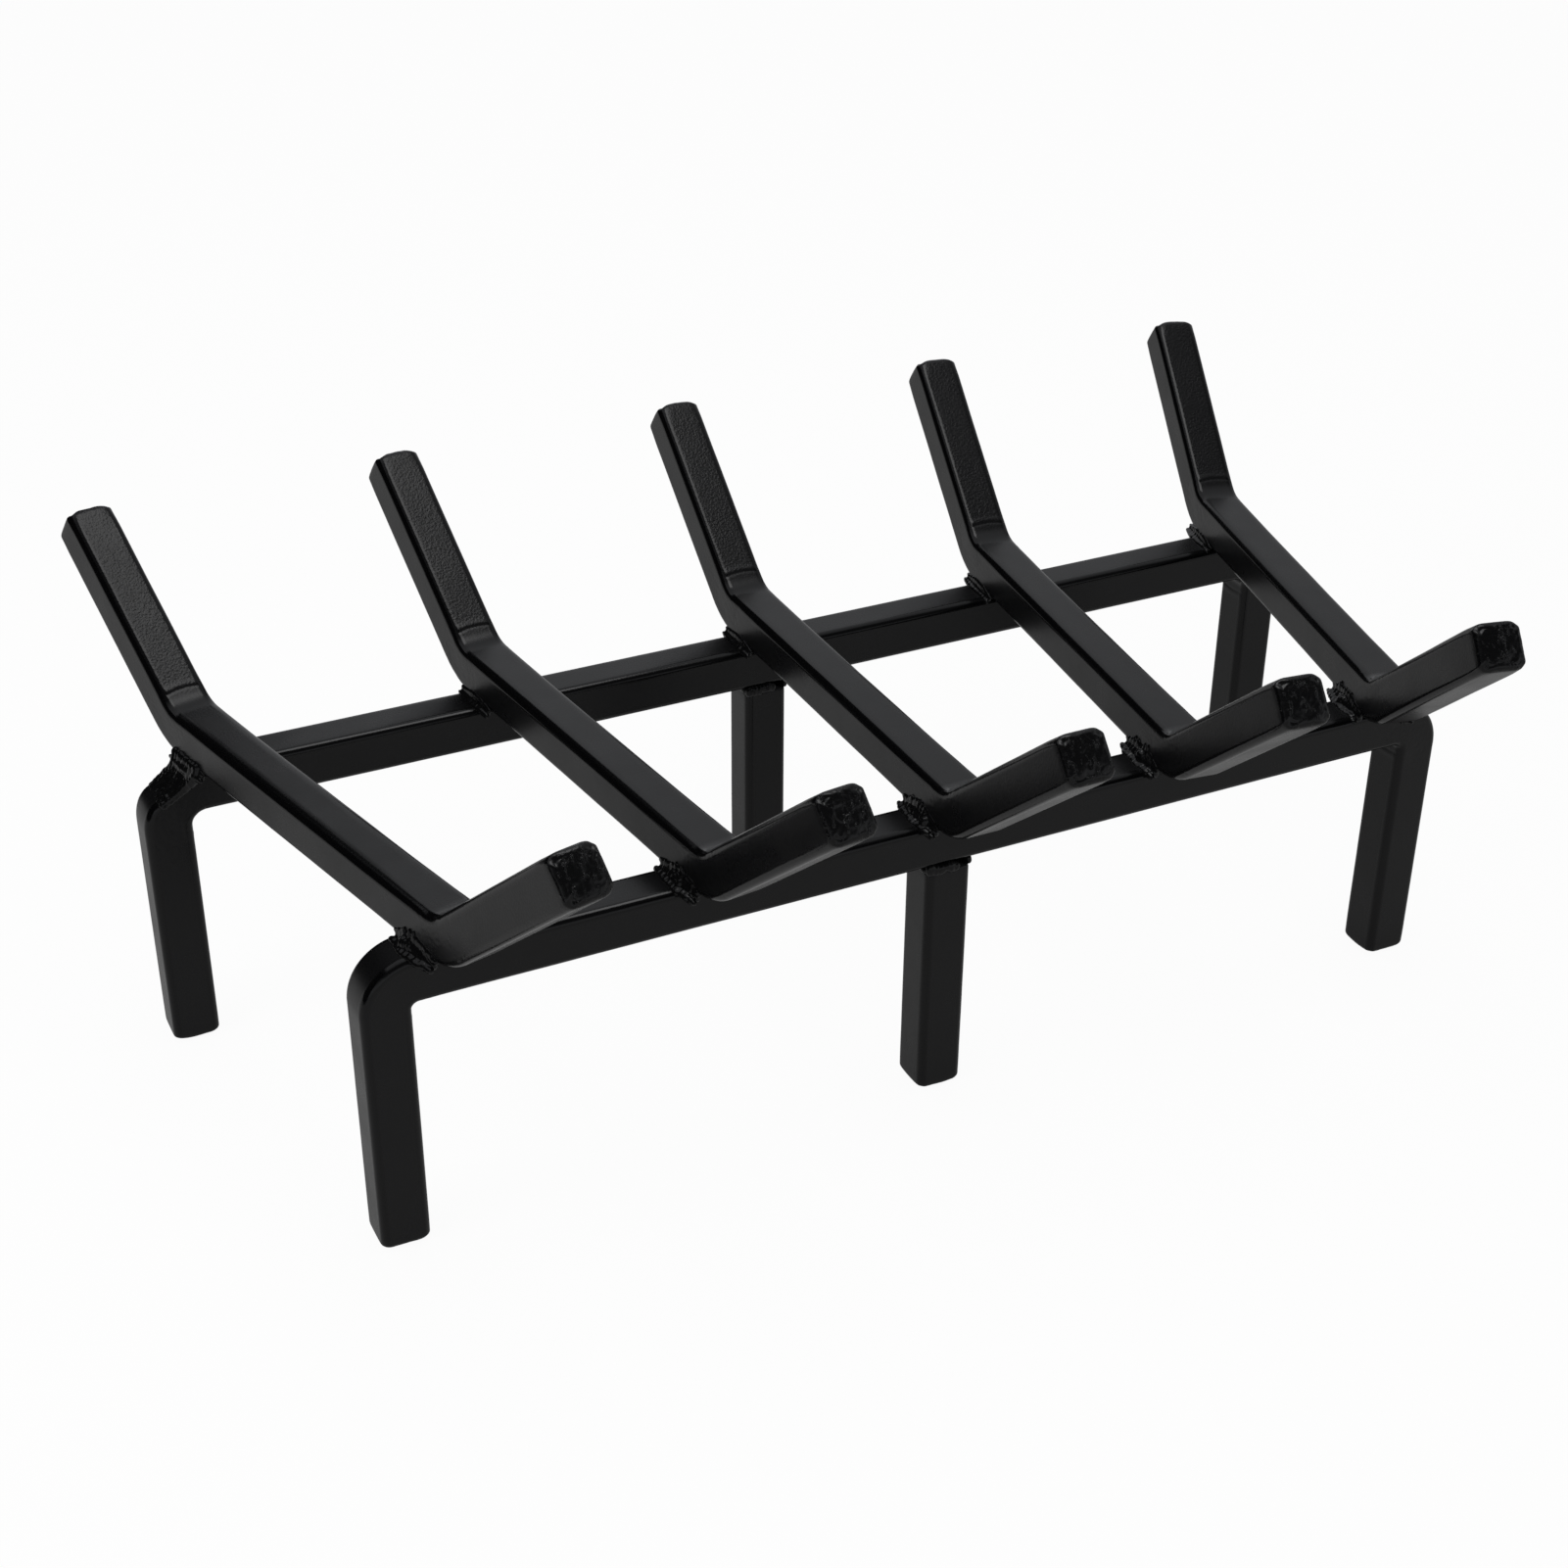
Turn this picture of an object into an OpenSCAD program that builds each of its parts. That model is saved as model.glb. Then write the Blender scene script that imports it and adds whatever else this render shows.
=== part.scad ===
// Fireplace log grate, welded from solid square bar. Millimetres.
// X runs along the rails, Y from the back of the grate to its front, Z up from the hearth.

/* [Bar stock] */
// Side of the square bar that every piece is cut from
bar_size = 19; // [12:0.5:25]
// Radius of the bar's long edges
edge_r = 2; // [0.5:0.5:4]
// Radius of the worn corners at each cut end
end_r = 3; // [0.5:0.5:5]

/* [Rails and legs] */
// Height of the rails' top above the hearth
rail_top = 124; // [80:1:200]
// Width of the back rail over its legs
back_width = 462; // [400:1:800]
// Width of the front rail over its legs
front_width = 534; // [400:1:800]
// Distance between the middles of the two rails
rail_gap = 159; // [100:1:240]
// From the middle of the outer cradle bar to the outside of the back legs
back_overhang = 31; // [25:1:60]
// From the middle of the outer cradle bar to the outside of the front legs
front_overhang = 29; // [25:1:60]
// Inside radius of the back rail's bends
back_bend_r = 2.5; // [1:0.5:15]
// Inside radius of the front rail's bends
front_bend_r = 6; // [1:0.5:15]

/* [Cradle bars] */
// Number of cradle bars, with one in the middle
bar_count = 5; // [3:2:9]
// How far a bar's flat seat runs on past the back rail, to the inner crease of its bend
back_seat = 7.5; // [0:0.5:40]
// How far it runs on past the front rail
front_seat = 1; // [0:0.5:40]
// Angle by which each end is bent up
arm_angle = 40; // [20:1:70]
// Length of each bent arm, from the inner crease to its end
arm_len = 94; // [40:1:160]
// Inside radius of the arms' bends
arm_bend_r = 3; // [1:0.5:15]
// How far the skin steps in where an arm leaves its bend
arm_step = 0.05; // [0.02:0.01:0.2]

/* [Welds] */
// Leg length of a fillet weld
weld_leg = 5; // [3:0.5:8]
// How deep the middle of a fillet's round section lies behind the faces it joins
weld_root = 2; // [0.5:0.5:3]
// How far a fillet stops short of the side faces of the bar that it runs across
weld_short = 1; // [0.5:0.5:4]
// Distance from one ripple of a weld to the next
weld_step = 2.5; // [2:0.1:3]
// Radius of a ripple's rounded rim
ripple_r = 1.8; // [1.6:0.1:3]
// How much the ripples differ in size, as a share of the weld's radius
weld_ripple = 0.08; // [0:0.02:0.12]
// How far the weld stands out of the flush joint on the front and back of a middle leg
weld_proud = 1.5; // [0.5:0.5:3]

/* [Hidden] */
$fn = 48;
bar_names = [for (i = [1 : bar_count]) str("grate_bar_", i)];
back_weld_names = [for (i = [1 : bar_count]) str("weld_back_", i)];
front_weld_names = [for (i = [1 : bar_count]) str("weld_front_", i)];
frame_names = ["back_rail", "front_rail", "back_middle_leg", "front_middle_leg"];
leg_weld_names = ["weld_back_leg", "weld_front_leg"];

steel = "#232326";
weld_metal = "#121214";

// A bar's flat seat, centred on Y = 0, spans both rails and what runs on past them
seat_len = back_seat + bar_size + rail_gap + front_seat;

// Each rail's middle line along Y
back_y = back_seat + (bar_size - seat_len) / 2;
front_y = back_y + rail_gap;

// Distance from one cradle bar to the next where they cross each rail
back_pitch = (back_width - 2 * back_overhang) / (bar_count - 1);
front_pitch = (front_width - 2 * front_overhang) / (bar_count - 1);

// Places of a cradle bar: its step from the middle one, its turn in plan and where it crosses Y = 0
function bar_step(i) = i - (bar_count + 1) / 2;
function bar_turn(i) = atan2(bar_step(i) * (front_pitch - back_pitch), rail_gap);
function bar_x(i) = bar_step(i) * (back_pitch - back_y * (front_pitch - back_pitch) / rail_gap);

// How far an arm runs back into the bend that it leaves, for each step of its skin
arm_lap = 10;

// Size of a weld's two end ripples, as a share of the rest
end_taper = 0.86;

// How far weld metal runs in under a bar's rounded edge, short of the line where the bars meet
weld_fill = 0.7 * edge_r;

// Ripple k of a weld: a size that wanders about 1, by a share that weld_ripple sets
function ripple(k, seed) = 1 + weld_ripple * sin(137 * k + 71 * seed);

// ---- bar stock ----

// The bar's square section, whose skin may lie a step further in
module bar_section(step = 0) {
    side = bar_size - 2 * step;
    flat = bar_size - 2 * edge_r;
    square([side, flat], center = true);
    square([flat, side], center = true);
    for (x = [-1, 1], y = [-1, 1])
        translate([x * flat / 2, y * flat / 2])
            circle(r = edge_r - step);
}

// The outline of a straight length along +X whose far corners are rounded
module end_outline(start, end, side) {
    translate([start, -side / 2])
        square([end - end_r - start, side]);
    translate([start, end_r - side / 2])
        square([end - start, side - 2 * end_r]);
    for (corner = [-1, 1])
        translate([end - end_r, corner * (side / 2 - end_r)])
            circle(r = end_r);
}

// A straight length along +X whose far end is cut off and worn. Where its skin steps in, it starts
// a little way back, inside the bend that it leaves.
module cut_end(length, step = 0) {
    side = bar_size - 2 * step;
    start = -arm_lap * step;
    intersection() {
        translate([start, 0, 0])
            rotate([0, 90, 0])
                linear_extrude(length - start)
                    bar_section(step);
        translate([0, 0, -bar_size])
            linear_extrude(2 * bar_size)
                end_outline(start, length, side);
        rotate([90, 0, 0])
            translate([0, 0, -bar_size])
                linear_extrude(2 * bar_size)
                    end_outline(start, length, side);
    }
}

// One end of a bent bar: a bend that starts at the origin and turns up from +X, then a straight arm
module bent_end(turn, inner_r, arm, step) {
    middle_r = inner_r + bar_size / 2;
    translate([0, 0, middle_r]) {
        rotate([90, 90, 0])
            rotate_extrude(angle = turn)
                translate([middle_r, 0])
                    bar_section();
        rotate([0, -turn, 0])
            translate([0, 0, -middle_r])
                cut_end(arm, step);
    }
}

// A bar along X with both ends bent up
module bent_bar(flat, turn, inner_r, arm, step = 0) {
    for (side = [0, 1])
        mirror([side, 0, 0]) {
            rotate([0, 90, 0])
                linear_extrude(flat / 2)
                    bar_section();
            translate([flat / 2, 0, 0])
                bent_end(turn, inner_r, arm, step);
        }
}

// ---- rails and middle legs ----

// A bar whose two ends are bent down square, to stand on the hearth
module rail(y, length, bend_r) {
    color(steel)
        translate([0, y, rail_top - bar_size / 2])
            mirror([0, 0, 1])
                bent_bar(length - 2 * (bend_r + bar_size), 90, bend_r, rail_top - bar_size - bend_r);
}

module back_rail() {
    rail(back_y, back_width, back_bend_r);
}

module front_rail() {
    rail(front_y, front_width, front_bend_r);
}

// A straight leg that butts against the underside of its rail
module middle_leg(y) {
    color(steel)
        translate([0, y, rail_top - bar_size])
            rotate([0, 90, 0])
                cut_end(rail_top - bar_size);
}

module back_middle_leg() {
    middle_leg(back_y);
}

module front_middle_leg() {
    middle_leg(front_y);
}

// ---- cradle bars ----

// Bar i rests on both rails and fans out with them
module grate_bar(i) {
    crease = arm_bend_r * tan(arm_angle / 2);
    color(steel)
        translate([bar_x(i), 0, rail_top + bar_size / 2])
            rotate([0, 0, 90 - bar_turn(i)])
                bent_bar(seat_len - 2 * crease, arm_angle, arm_bend_r, arm_len - crease, arm_step);
}

// ---- welds ----

// A solid of revolution about Y, centred on the origin: a round-rimmed disc for each ripple
module ripples(length, radius, seed) {
    run = length - 2 * ripple_r;
    last = max(1, round(run / weld_step));
    rotate([-90, 0, 0])
        rotate_extrude()
            for (k = [0 : last]) {
                taper = k == 0 || k == last ? end_taper : 1;
                hub = radius * taper * ripple(k, seed) - ripple_r;
                middle = k * run / last - run / 2;
                translate([0, middle - ripple_r])
                    square([hub, 2 * ripple_r]);
                translate([hub, middle])
                    circle(r = ripple_r);
            }
}

// A bead along Y over the origin, on a face towards -X: ripples whose middle lies deep behind the face
module bead(length, radius, deep, seed) {
    reach = 2 * radius;
    intersection() {
        translate([deep, 0, 0])
            ripples(length, radius, seed);
        translate([-reach, -length, -reach])
            cube([reach + weld_fill, 2 * length, 2 * reach]);
    }
}

// A fillet along Y in the corner at the origin, between a face towards -X and one above it or below
module fillet_bead(length, level, seed) {
    translate([0, 0, level * weld_root])
        bead(length, norm([weld_leg + weld_root, weld_root]), weld_root, seed);
}

// Fillets in both corners between bar i and the rail it crosses at y
module crossing_beads(i, pitch, y) {
    turn = bar_turn(i);
    translate([bar_step(i) * pitch, y, rail_top])
        for (side = [0, 1])
            rotate([0, 0, 180 * side - turn])
                translate([-bar_size / 2, -bar_size / 2 * tan(turn), 0])
                    fillet_bead((bar_size - 2 * weld_short) / cos(turn), -1, 2 * i + side);
}

module weld_back(i) {
    color(weld_metal)
        difference() {
            crossing_beads(i, back_pitch, back_y);
            grate_bar(i);
            back_rail();
        }
}

module weld_front(i) {
    color(weld_metal)
        difference() {
            crossing_beads(i, front_pitch, front_y);
            grate_bar(i);
            front_rail();
        }
}

// Fillets at the left and right of a middle leg's top, and flush beads across its front and back
module leg_beads(y) {
    translate([0, y, rail_top - bar_size])
        for (side = [0, 1])
            rotate([0, 0, 180 * side]) {
                translate([-bar_size / 2, 0, 0])
                    fillet_bead(bar_size - 2 * weld_short, 1, side + 3);
                rotate([0, 0, 90])
                    translate([-bar_size / 2, 0, 0])
                        bead(bar_size, weld_leg, weld_leg - weld_proud, side + 6);
            }
}

module weld_back_leg() {
    color(weld_metal)
        difference() {
            leg_beads(back_y);
            back_rail();
            back_middle_leg();
        }
}

module weld_front_leg() {
    color(weld_metal)
        difference() {
            leg_beads(front_y);
            front_rail();
            front_middle_leg();
        }
}

back_rail();
front_rail();
back_middle_leg();
front_middle_leg();
for (i = [1 : bar_count]) {
    grate_bar(i);
    weld_back(i);
    weld_front(i);
}
weld_back_leg();
weld_front_leg();
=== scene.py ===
import random
from math import atan2, ceil, cos, exp, pi, radians, sin, sqrt, tan

import bmesh
import bpy
from mathutils import Matrix, Vector, noise


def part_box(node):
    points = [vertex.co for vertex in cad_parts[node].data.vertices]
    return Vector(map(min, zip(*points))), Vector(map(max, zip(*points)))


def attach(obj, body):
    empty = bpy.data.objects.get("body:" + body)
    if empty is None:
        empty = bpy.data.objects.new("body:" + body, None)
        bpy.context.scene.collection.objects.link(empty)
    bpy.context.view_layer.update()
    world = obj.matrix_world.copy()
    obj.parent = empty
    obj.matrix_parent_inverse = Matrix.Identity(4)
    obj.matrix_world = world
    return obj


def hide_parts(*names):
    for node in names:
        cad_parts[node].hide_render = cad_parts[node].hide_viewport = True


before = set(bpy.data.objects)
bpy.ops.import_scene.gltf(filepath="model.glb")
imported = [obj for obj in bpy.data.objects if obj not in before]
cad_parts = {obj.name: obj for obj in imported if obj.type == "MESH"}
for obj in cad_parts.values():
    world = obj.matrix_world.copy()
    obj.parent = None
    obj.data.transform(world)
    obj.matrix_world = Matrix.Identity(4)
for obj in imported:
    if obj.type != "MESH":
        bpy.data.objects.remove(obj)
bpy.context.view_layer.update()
print("frame loaded,", len(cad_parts), "nodes")

# small helpers

tiny = 1e-6  # metres, and shares, below this count as nothing


def smooth(low, high, value):
    t = min(max((value - low) / (high - low), 0.0), 1.0)
    return t * t * (3.0 - 2.0 * t)


def bump(value, middle, width):  # a soft hump, 1 at the middle
    return exp(-(((value - middle) / width) ** 2))


def grain(place, perMetre, seed):  # repeatable noise, -1 to 1
    return noise.noise(place * perMetre + Vector((seed * 17.3, seed * 5.7, seed * 11.1)))


def crag(place, perMetre, seed):  # the same with sharp crests
    return 1.0 - 3.0 * abs(grain(place, perMetre, seed))


def node(tree, kind, **inputs):
    made = tree.nodes.new(kind)
    for name, value in inputs.items():
        made.inputs[name.replace("_", " ")].default_value = value
    return made


def mapped(tree, value, fromLow, fromHigh, toLow, toHigh):
    made = tree.nodes.new("ShaderNodeMapRange")
    names = ("From Min", "From Max", "To Min", "To Max")
    for name, number in zip(names, (fromLow, fromHigh, toLow, toHigh)):
        made.inputs[name].default_value = number
    tree.links.new(value, made.inputs["Value"])
    return made.outputs["Result"]


def feed(tree, sockets, *values):  # gives each socket its constant, or a link from another node
    for socket, value in zip(sockets, values):
        if isinstance(value, (float, tuple)):
            socket.default_value = value
        else:
            tree.links.new(value, socket)


def blendNumber(tree, factor, first, second):
    made = tree.nodes.new("ShaderNodeMix")
    made.data_type = "FLOAT"
    tree.links.new(factor, made.inputs[0])
    feed(tree, made.inputs[2:4], first, second)
    return made.outputs[0]


def blendColour(tree, factor, first, second):
    made = tree.nodes.new("ShaderNodeMix")
    made.data_type = "RGBA"
    tree.links.new(factor, made.inputs[0])
    feed(tree, made.inputs[6:8], first, second)
    return made.outputs[2]


def mathNode(tree, operation, first, second):
    made = tree.nodes.new("ShaderNodeMath")
    made.operation = operation
    feed(tree, made.inputs, first, second)
    return made.outputs[0]


bpy.context.scene.view_settings.view_transform = "Standard"

# camera

shot = {
    "place": (-0.4038, -0.7582, 0.5946),
    "azimuth": -26.37,
    "elevation": 30.19,
    "roll": 0.45,
    "lens": 56.09,
    "sensor": 36.0,
    "farClip": 30.0,
}


def makeCamera():
    data = bpy.data.cameras.new("shotCamera")
    data.lens = shot["lens"]
    data.sensor_width = shot["sensor"]
    data.clip_end = shot["farClip"]
    camera = bpy.data.objects.new("shotCamera", data)
    bpy.context.scene.collection.objects.link(camera)
    turn = Matrix.Rotation(radians(shot["azimuth"]), 4, "Z")
    tip = Matrix.Rotation(radians(90.0 - shot["elevation"]), 4, "X")
    roll = Matrix.Rotation(radians(shot["roll"]), 4, "Z")
    camera.matrix_world = Matrix.Translation(shot["place"]) @ turn @ tip @ roll
    bpy.context.scene.camera = camera


makeCamera()

# room: floor, world, dark screen and lamps

room = {
    "floorSize": 12.0,
    "floorColour": (0.86, 0.86, 0.86, 1.0),
    "floorSeen": 0.95,  # share of plain white that the eye sees on the floor
    "floorMirrored": 0.65,  # share of plain grey that reflections see there
    "floorGrey": 0.28,
    "worldDiffuse": 0.55,
    "mirrorTint": (0.95, 0.965, 1.0, 1.0),
    "behind": 0.69,  # strength of the sky in reflections, behind the grate
    "behindRight": 0.37,  # and towards its right
    "rightFade": (0.2, 0.75),
    "frontLow": 0.60,  # and in front of it, low and high
    "frontHigh": 0.08,
    "highFade": (0.3, 0.52),
    "behindFade": (-0.35, 0.0),  # where the front sky turns into the one behind
}

screen = {  # a dark folding screen round the left and behind, which only reflections see
    "corners": ((-1.15, -0.60), (-1.15, 1.25), (0.02, 1.25)),
    "low": 0.0,
    "high": 1.45,
    "colour": (0.012, 0.012, 0.012, 1.0),
    "rough": 0.95,
}

lamps = {  # name: place, aimed at, width, height, power, shows in reflections
    "overhead": ((0.03, 0.0, 1.05), (0.03, 0.0, 0.1), 0.46, 0.46, 2.0, True),
    "sideLeft": ((-1.5, -0.4, 0.9), (0.0, 0.0, 0.1), 0.9, 0.9, 8.0, False),
}


def rayKinds(tree):  # camera ray, and glossy or transmission ray
    path = tree.nodes.new("ShaderNodeLightPath").outputs
    mirrored = mathNode(tree, "MAXIMUM", path["Is Glossy Ray"], path["Is Transmission Ray"])
    return path["Is Camera Ray"], mirrored


def makeFloor():
    bm = bmesh.new()
    bmesh.ops.create_grid(bm, x_segments=1, y_segments=1, size=room["floorSize"] / 2)
    mesh = bpy.data.meshes.new("floor")
    bm.to_mesh(mesh)
    bm.free()
    floor = bpy.data.objects.new("floor", mesh)
    bpy.context.scene.collection.objects.link(floor)
    material = bpy.data.materials.new("floorWhite")
    material.use_nodes = True
    tree = material.node_tree
    tree.nodes.clear()
    paint = node(tree, "ShaderNodeBsdfDiffuse", Color=room["floorColour"])
    white = node(tree, "ShaderNodeEmission", Color=(1, 1, 1, 1))
    seen, mirrored = rayKinds(tree)
    share = mathNode(tree, "MAXIMUM", mathNode(tree, "MULTIPLY", seen, room["floorSeen"]),
                     mathNode(tree, "MULTIPLY", mirrored, room["floorMirrored"]))
    mix = tree.nodes.new("ShaderNodeMixShader")
    out = tree.nodes.new("ShaderNodeOutputMaterial")
    link = tree.links.new
    link(blendNumber(tree, mirrored, 1.0, room["floorGrey"]), white.inputs["Strength"])
    link(share, mix.inputs["Fac"])
    link(paint.outputs[0], mix.inputs[1])
    link(white.outputs[0], mix.inputs[2])
    link(mix.outputs[0], out.inputs["Surface"])
    mesh.materials.append(material)


def makeWorld():
    world = bpy.data.worlds.new("studio")
    bpy.context.scene.world = world
    world.use_nodes = True
    tree = world.node_tree
    tree.nodes.clear()
    link = tree.links.new
    split = tree.nodes.new("ShaderNodeSeparateXYZ")
    link(tree.nodes.new("ShaderNodeTexCoord").outputs["Generated"], split.inputs[0])
    right, depth, height = split.outputs
    behind = mapped(tree, right, *room["rightFade"], room["behind"], room["behindRight"])
    ahead = mapped(tree, height, *room["highFade"], room["frontLow"], room["frontHigh"])
    side = mapped(tree, depth, *room["behindFade"], 0.0, 1.0)
    seen, mirrored = rayKinds(tree)
    strength = blendNumber(tree, mirrored, room["worldDiffuse"], blendNumber(tree, side, ahead, behind))
    strength = blendNumber(tree, seen, strength, 1.0)
    back = tree.nodes.new("ShaderNodeBackground")
    out = tree.nodes.new("ShaderNodeOutputWorld")
    link(strength, back.inputs["Strength"])
    link(blendColour(tree, mirrored, (1.0, 1.0, 1.0, 1.0), room["mirrorTint"]), back.inputs["Color"])
    link(back.outputs[0], out.inputs["Surface"])


def makeScreen():
    bm = bmesh.new()
    corners = [Vector((x, y, screen["low"])) for x, y in screen["corners"]]
    rise = Vector((0, 0, screen["high"] - screen["low"]))
    for first, second in zip(corners, corners[1:]):
        along = second - first
        middle = (first + second + rise) / 2
        upright = Matrix((along.normalized(), rise.normalized(), along.cross(rise).normalized()))
        stand = Matrix.Translation(middle) @ upright.transposed().to_4x4()
        wing = bmesh.ops.create_grid(bm, x_segments=1, y_segments=1, size=0.5)["verts"]
        bmesh.ops.scale(bm, vec=(along.length, rise.length, 1), verts=wing)
        bmesh.ops.transform(bm, matrix=stand, verts=wing)
    mesh = bpy.data.meshes.new("darkScreen")
    bm.to_mesh(mesh)
    bm.free()
    material = bpy.data.materials.new("darkScreen")
    material.use_nodes = True
    shader = material.node_tree.nodes["Principled BSDF"]
    shader.inputs["Base Color"].default_value = screen["colour"]
    shader.inputs["Roughness"].default_value = screen["rough"]
    shader.inputs["Specular IOR Level"].default_value = 0.0
    mesh.materials.append(material)
    piece = bpy.data.objects.new("darkScreen", mesh)
    bpy.context.scene.collection.objects.link(piece)
    piece.visible_camera = False
    piece.visible_diffuse = False
    piece.visible_shadow = False
    piece.visible_transmission = False


def makeLamps():
    for name, (place, aim, width, height, power, shows) in lamps.items():
        data = bpy.data.lights.new(name, "AREA")
        data.shape = "RECTANGLE"
        data.size = width
        data.size_y = height
        data.energy = power
        lamp = bpy.data.objects.new(name, data)
        bpy.context.scene.collection.objects.link(lamp)
        lamp.location = place
        lamp.rotation_euler = (Vector(aim) - Vector(place)).to_track_quat("-Z", "Y").to_euler()
        lamp.visible_glossy = shows


makeFloor()
makeWorld()
makeScreen()
makeLamps()
print("room ready")

# finishes

paintLook = {
    "base": (0.0032, 0.0032, 0.0036, 1.0),
    "shade": 0.8,  # the darker clouds in it, as a share of the base
    # painted shade: a darker paint for the long edges and the cut ends, standing in for the dark band that
    # reflections show there
    "edge": (0.0012, 0.0012, 0.0014, 1.0),
    "specular": 0.30,
    "roughLow": 0.26,
    "roughHigh": 0.32,
    "edgeRough": 0.16,
    "cutRough": (0.24, 0.14),  # on a cut end, in its scratches and on its flats
    "cloudPerMetre": 45.0,
    "finePerMetre": 1500.0,
    "fineHeight": 0.000006,
    "peelPerMetre": 1050.0,
    "peelHeight": 0.00017,
    "scratchPerMetre": 520.0,
    "scratchStretch": (1.0, 0.22, 0.6),
    "scratchFade": (0.56, 0.70),
    "cutHeight": 0.00030,
}

weldLook = {
    "dark": (0.0012, 0.0012, 0.0013, 1.0),
    "light": (0.004, 0.004, 0.0043, 1.0),
    "specular": 0.26,
    "roughLow": 0.13,
    "roughHigh": 0.22,
    "lumpPerMetre": 420.0,
    "lumpHeight": 0.00004,
    "pitPerMetre": 1300.0,
    "pitHeight": 0.00001,
}


def principled(name):
    material = bpy.data.materials.new(name)
    material.use_nodes = True
    tree = material.node_tree
    tree.nodes.clear()
    out = tree.nodes.new("ShaderNodeOutputMaterial")
    shader = tree.nodes.new("ShaderNodeBsdfPrincipled")
    tree.links.new(shader.outputs[0], out.inputs["Surface"])
    place = tree.nodes.new("ShaderNodeTexCoord").outputs["Object"]
    return material, tree, shader, place


def noiseNode(tree, place, perMetre, detail, roughness, stretch=(1, 1, 1)):
    mapping = node(tree, "ShaderNodeMapping", Scale=stretch)
    made = node(tree, "ShaderNodeTexNoise", Scale=perMetre, Detail=detail, Roughness=roughness)
    tree.links.new(place, mapping.inputs["Vector"])
    tree.links.new(mapping.outputs[0], made.inputs["Vector"])
    return made.outputs["Fac"]


def bumped(tree, height, depth, under=None):
    made = node(tree, "ShaderNodeBump", Strength=1.0, Distance=depth)
    tree.links.new(height, made.inputs["Height"])
    if under is not None:
        tree.links.new(under, made.inputs["Normal"])
    return made.outputs[0]


def attribute(tree, name):
    made = tree.nodes.new("ShaderNodeAttribute")
    made.attribute_name = name
    return made.outputs["Fac"]


def barPaint():  # satin black paint on rolled bar, shiny along the edges, rough on the cuts, with painted shade: darker paint along the long edges and on the cut ends, for the dark bands that reflections show there
    look = paintLook
    material, tree, shader, place = principled("barPaint")
    edge = attribute(tree, "edge")
    cut = attribute(tree, "cut")
    skin = attribute(tree, "skin")
    link = tree.links.new
    cloud = noiseNode(tree, place, look["cloudPerMetre"], 3.0, 0.55)
    fine = noiseNode(tree, place, look["finePerMetre"], 3.0, 0.6)
    peel = noiseNode(tree, place, look["peelPerMetre"], 2.0, 0.45)
    scratch = noiseNode(tree, place, look["scratchPerMetre"], 3.0, 0.6, look["scratchStretch"])
    scratch = mapped(tree, scratch, *look["scratchFade"], 0.0, 1.0)
    rough = mapped(tree, cloud, 0.35, 0.65, look["roughLow"], look["roughHigh"])
    rough = blendNumber(tree, edge, rough, look["edgeRough"])
    rough = blendNumber(tree, cut, rough, mapped(tree, scratch, 0.0, 1.0, *look["cutRough"]))
    shade = tuple(look["shade"] * c for c in look["base"][:3]) + (1.0,)
    tint = blendColour(tree, mapped(tree, cloud, 0.3, 0.7, 0.0, 1.0), look["base"], shade)
    # painted shade: the long edges and the cut ends take the darker edge paint
    colour = blendColour(tree, edge, tint, look["edge"])
    colour = blendColour(tree, cut, colour, look["edge"])
    shader.inputs["Specular IOR Level"].default_value = look["specular"]
    link(rough, shader.inputs["Roughness"])
    link(colour, shader.inputs["Base Color"])
    normal = bumped(tree, blendNumber(tree, skin, 0.5, peel), look["peelHeight"])
    normal = bumped(tree, fine, look["fineHeight"], normal)
    normal = bumped(tree, blendNumber(tree, cut, 0.0, scratch), look["cutHeight"], normal)
    link(normal, shader.inputs["Normal"])
    return material


def weldPaint():  # glossy paint pooled over lumpy weld metal
    look = weldLook
    material, tree, shader, place = principled("weldPaint")
    link = tree.links.new
    lumps = noiseNode(tree, place, look["lumpPerMetre"], 3.0, 0.55)
    pits = noiseNode(tree, place, look["pitPerMetre"], 3.0, 0.6)
    link(mapped(tree, lumps, 0.3, 0.7, look["roughLow"], look["roughHigh"]), shader.inputs["Roughness"])
    link(blendColour(tree, lumps, look["dark"], look["light"]), shader.inputs["Base Color"])
    shader.inputs["Specular IOR Level"].default_value = look["specular"]
    normal = bumped(tree, lumps, look["lumpHeight"])
    normal = bumped(tree, pits, look["pitHeight"], normal)
    link(normal, shader.inputs["Normal"])
    return material


barFinish = barPaint()
weldFinish = weldPaint()
print("finishes ready")

# square bar, swept along its bends

stock = {
    "side": 0.019,
    "edge": 0.003,  # radius of the long edges, drawn softer than the CAD solid's
    "edgeFade": (-0.25, 0.15),  # where the edge's shiny, darker paint (painted shade) sets in, in shares of that radius
    "ends": (0.0034, 0.0034),  # radius at a cut end
    "barEnds": (0.0025, 0.0036),  # and at a cradle bar's back and front ends
    "cells": 38,  # faces across one side
    "step": 0.0026,  # length of a face along a straight run
    "fineStep": 0.0005,  # and beside a bend
    "fineRun": 0.008,  # how far the short faces reach from a bend
    "turnStep": 2.8,  # degrees a face of a bend turns
    "endSteps": 8,
}
half = stock["side"] / 2
flat = half - stock["edge"]
cornerMiddle = flat + stock["edge"] * sin(pi / 4)
rimShare = 0.999  # past this share of the way out, a vertex lies on the bar's skin
faceShare = 0.9  # past this share of half a side, it lies on that face
layers = ("across", "up", "reach", "edge", "along", "cut", "skin")


def rank(place):  # orders a mesh, because extruding leaves another order each run
    return 0.31 * place.x + 0.83 * place.y + 0.47 * place.z


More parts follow.
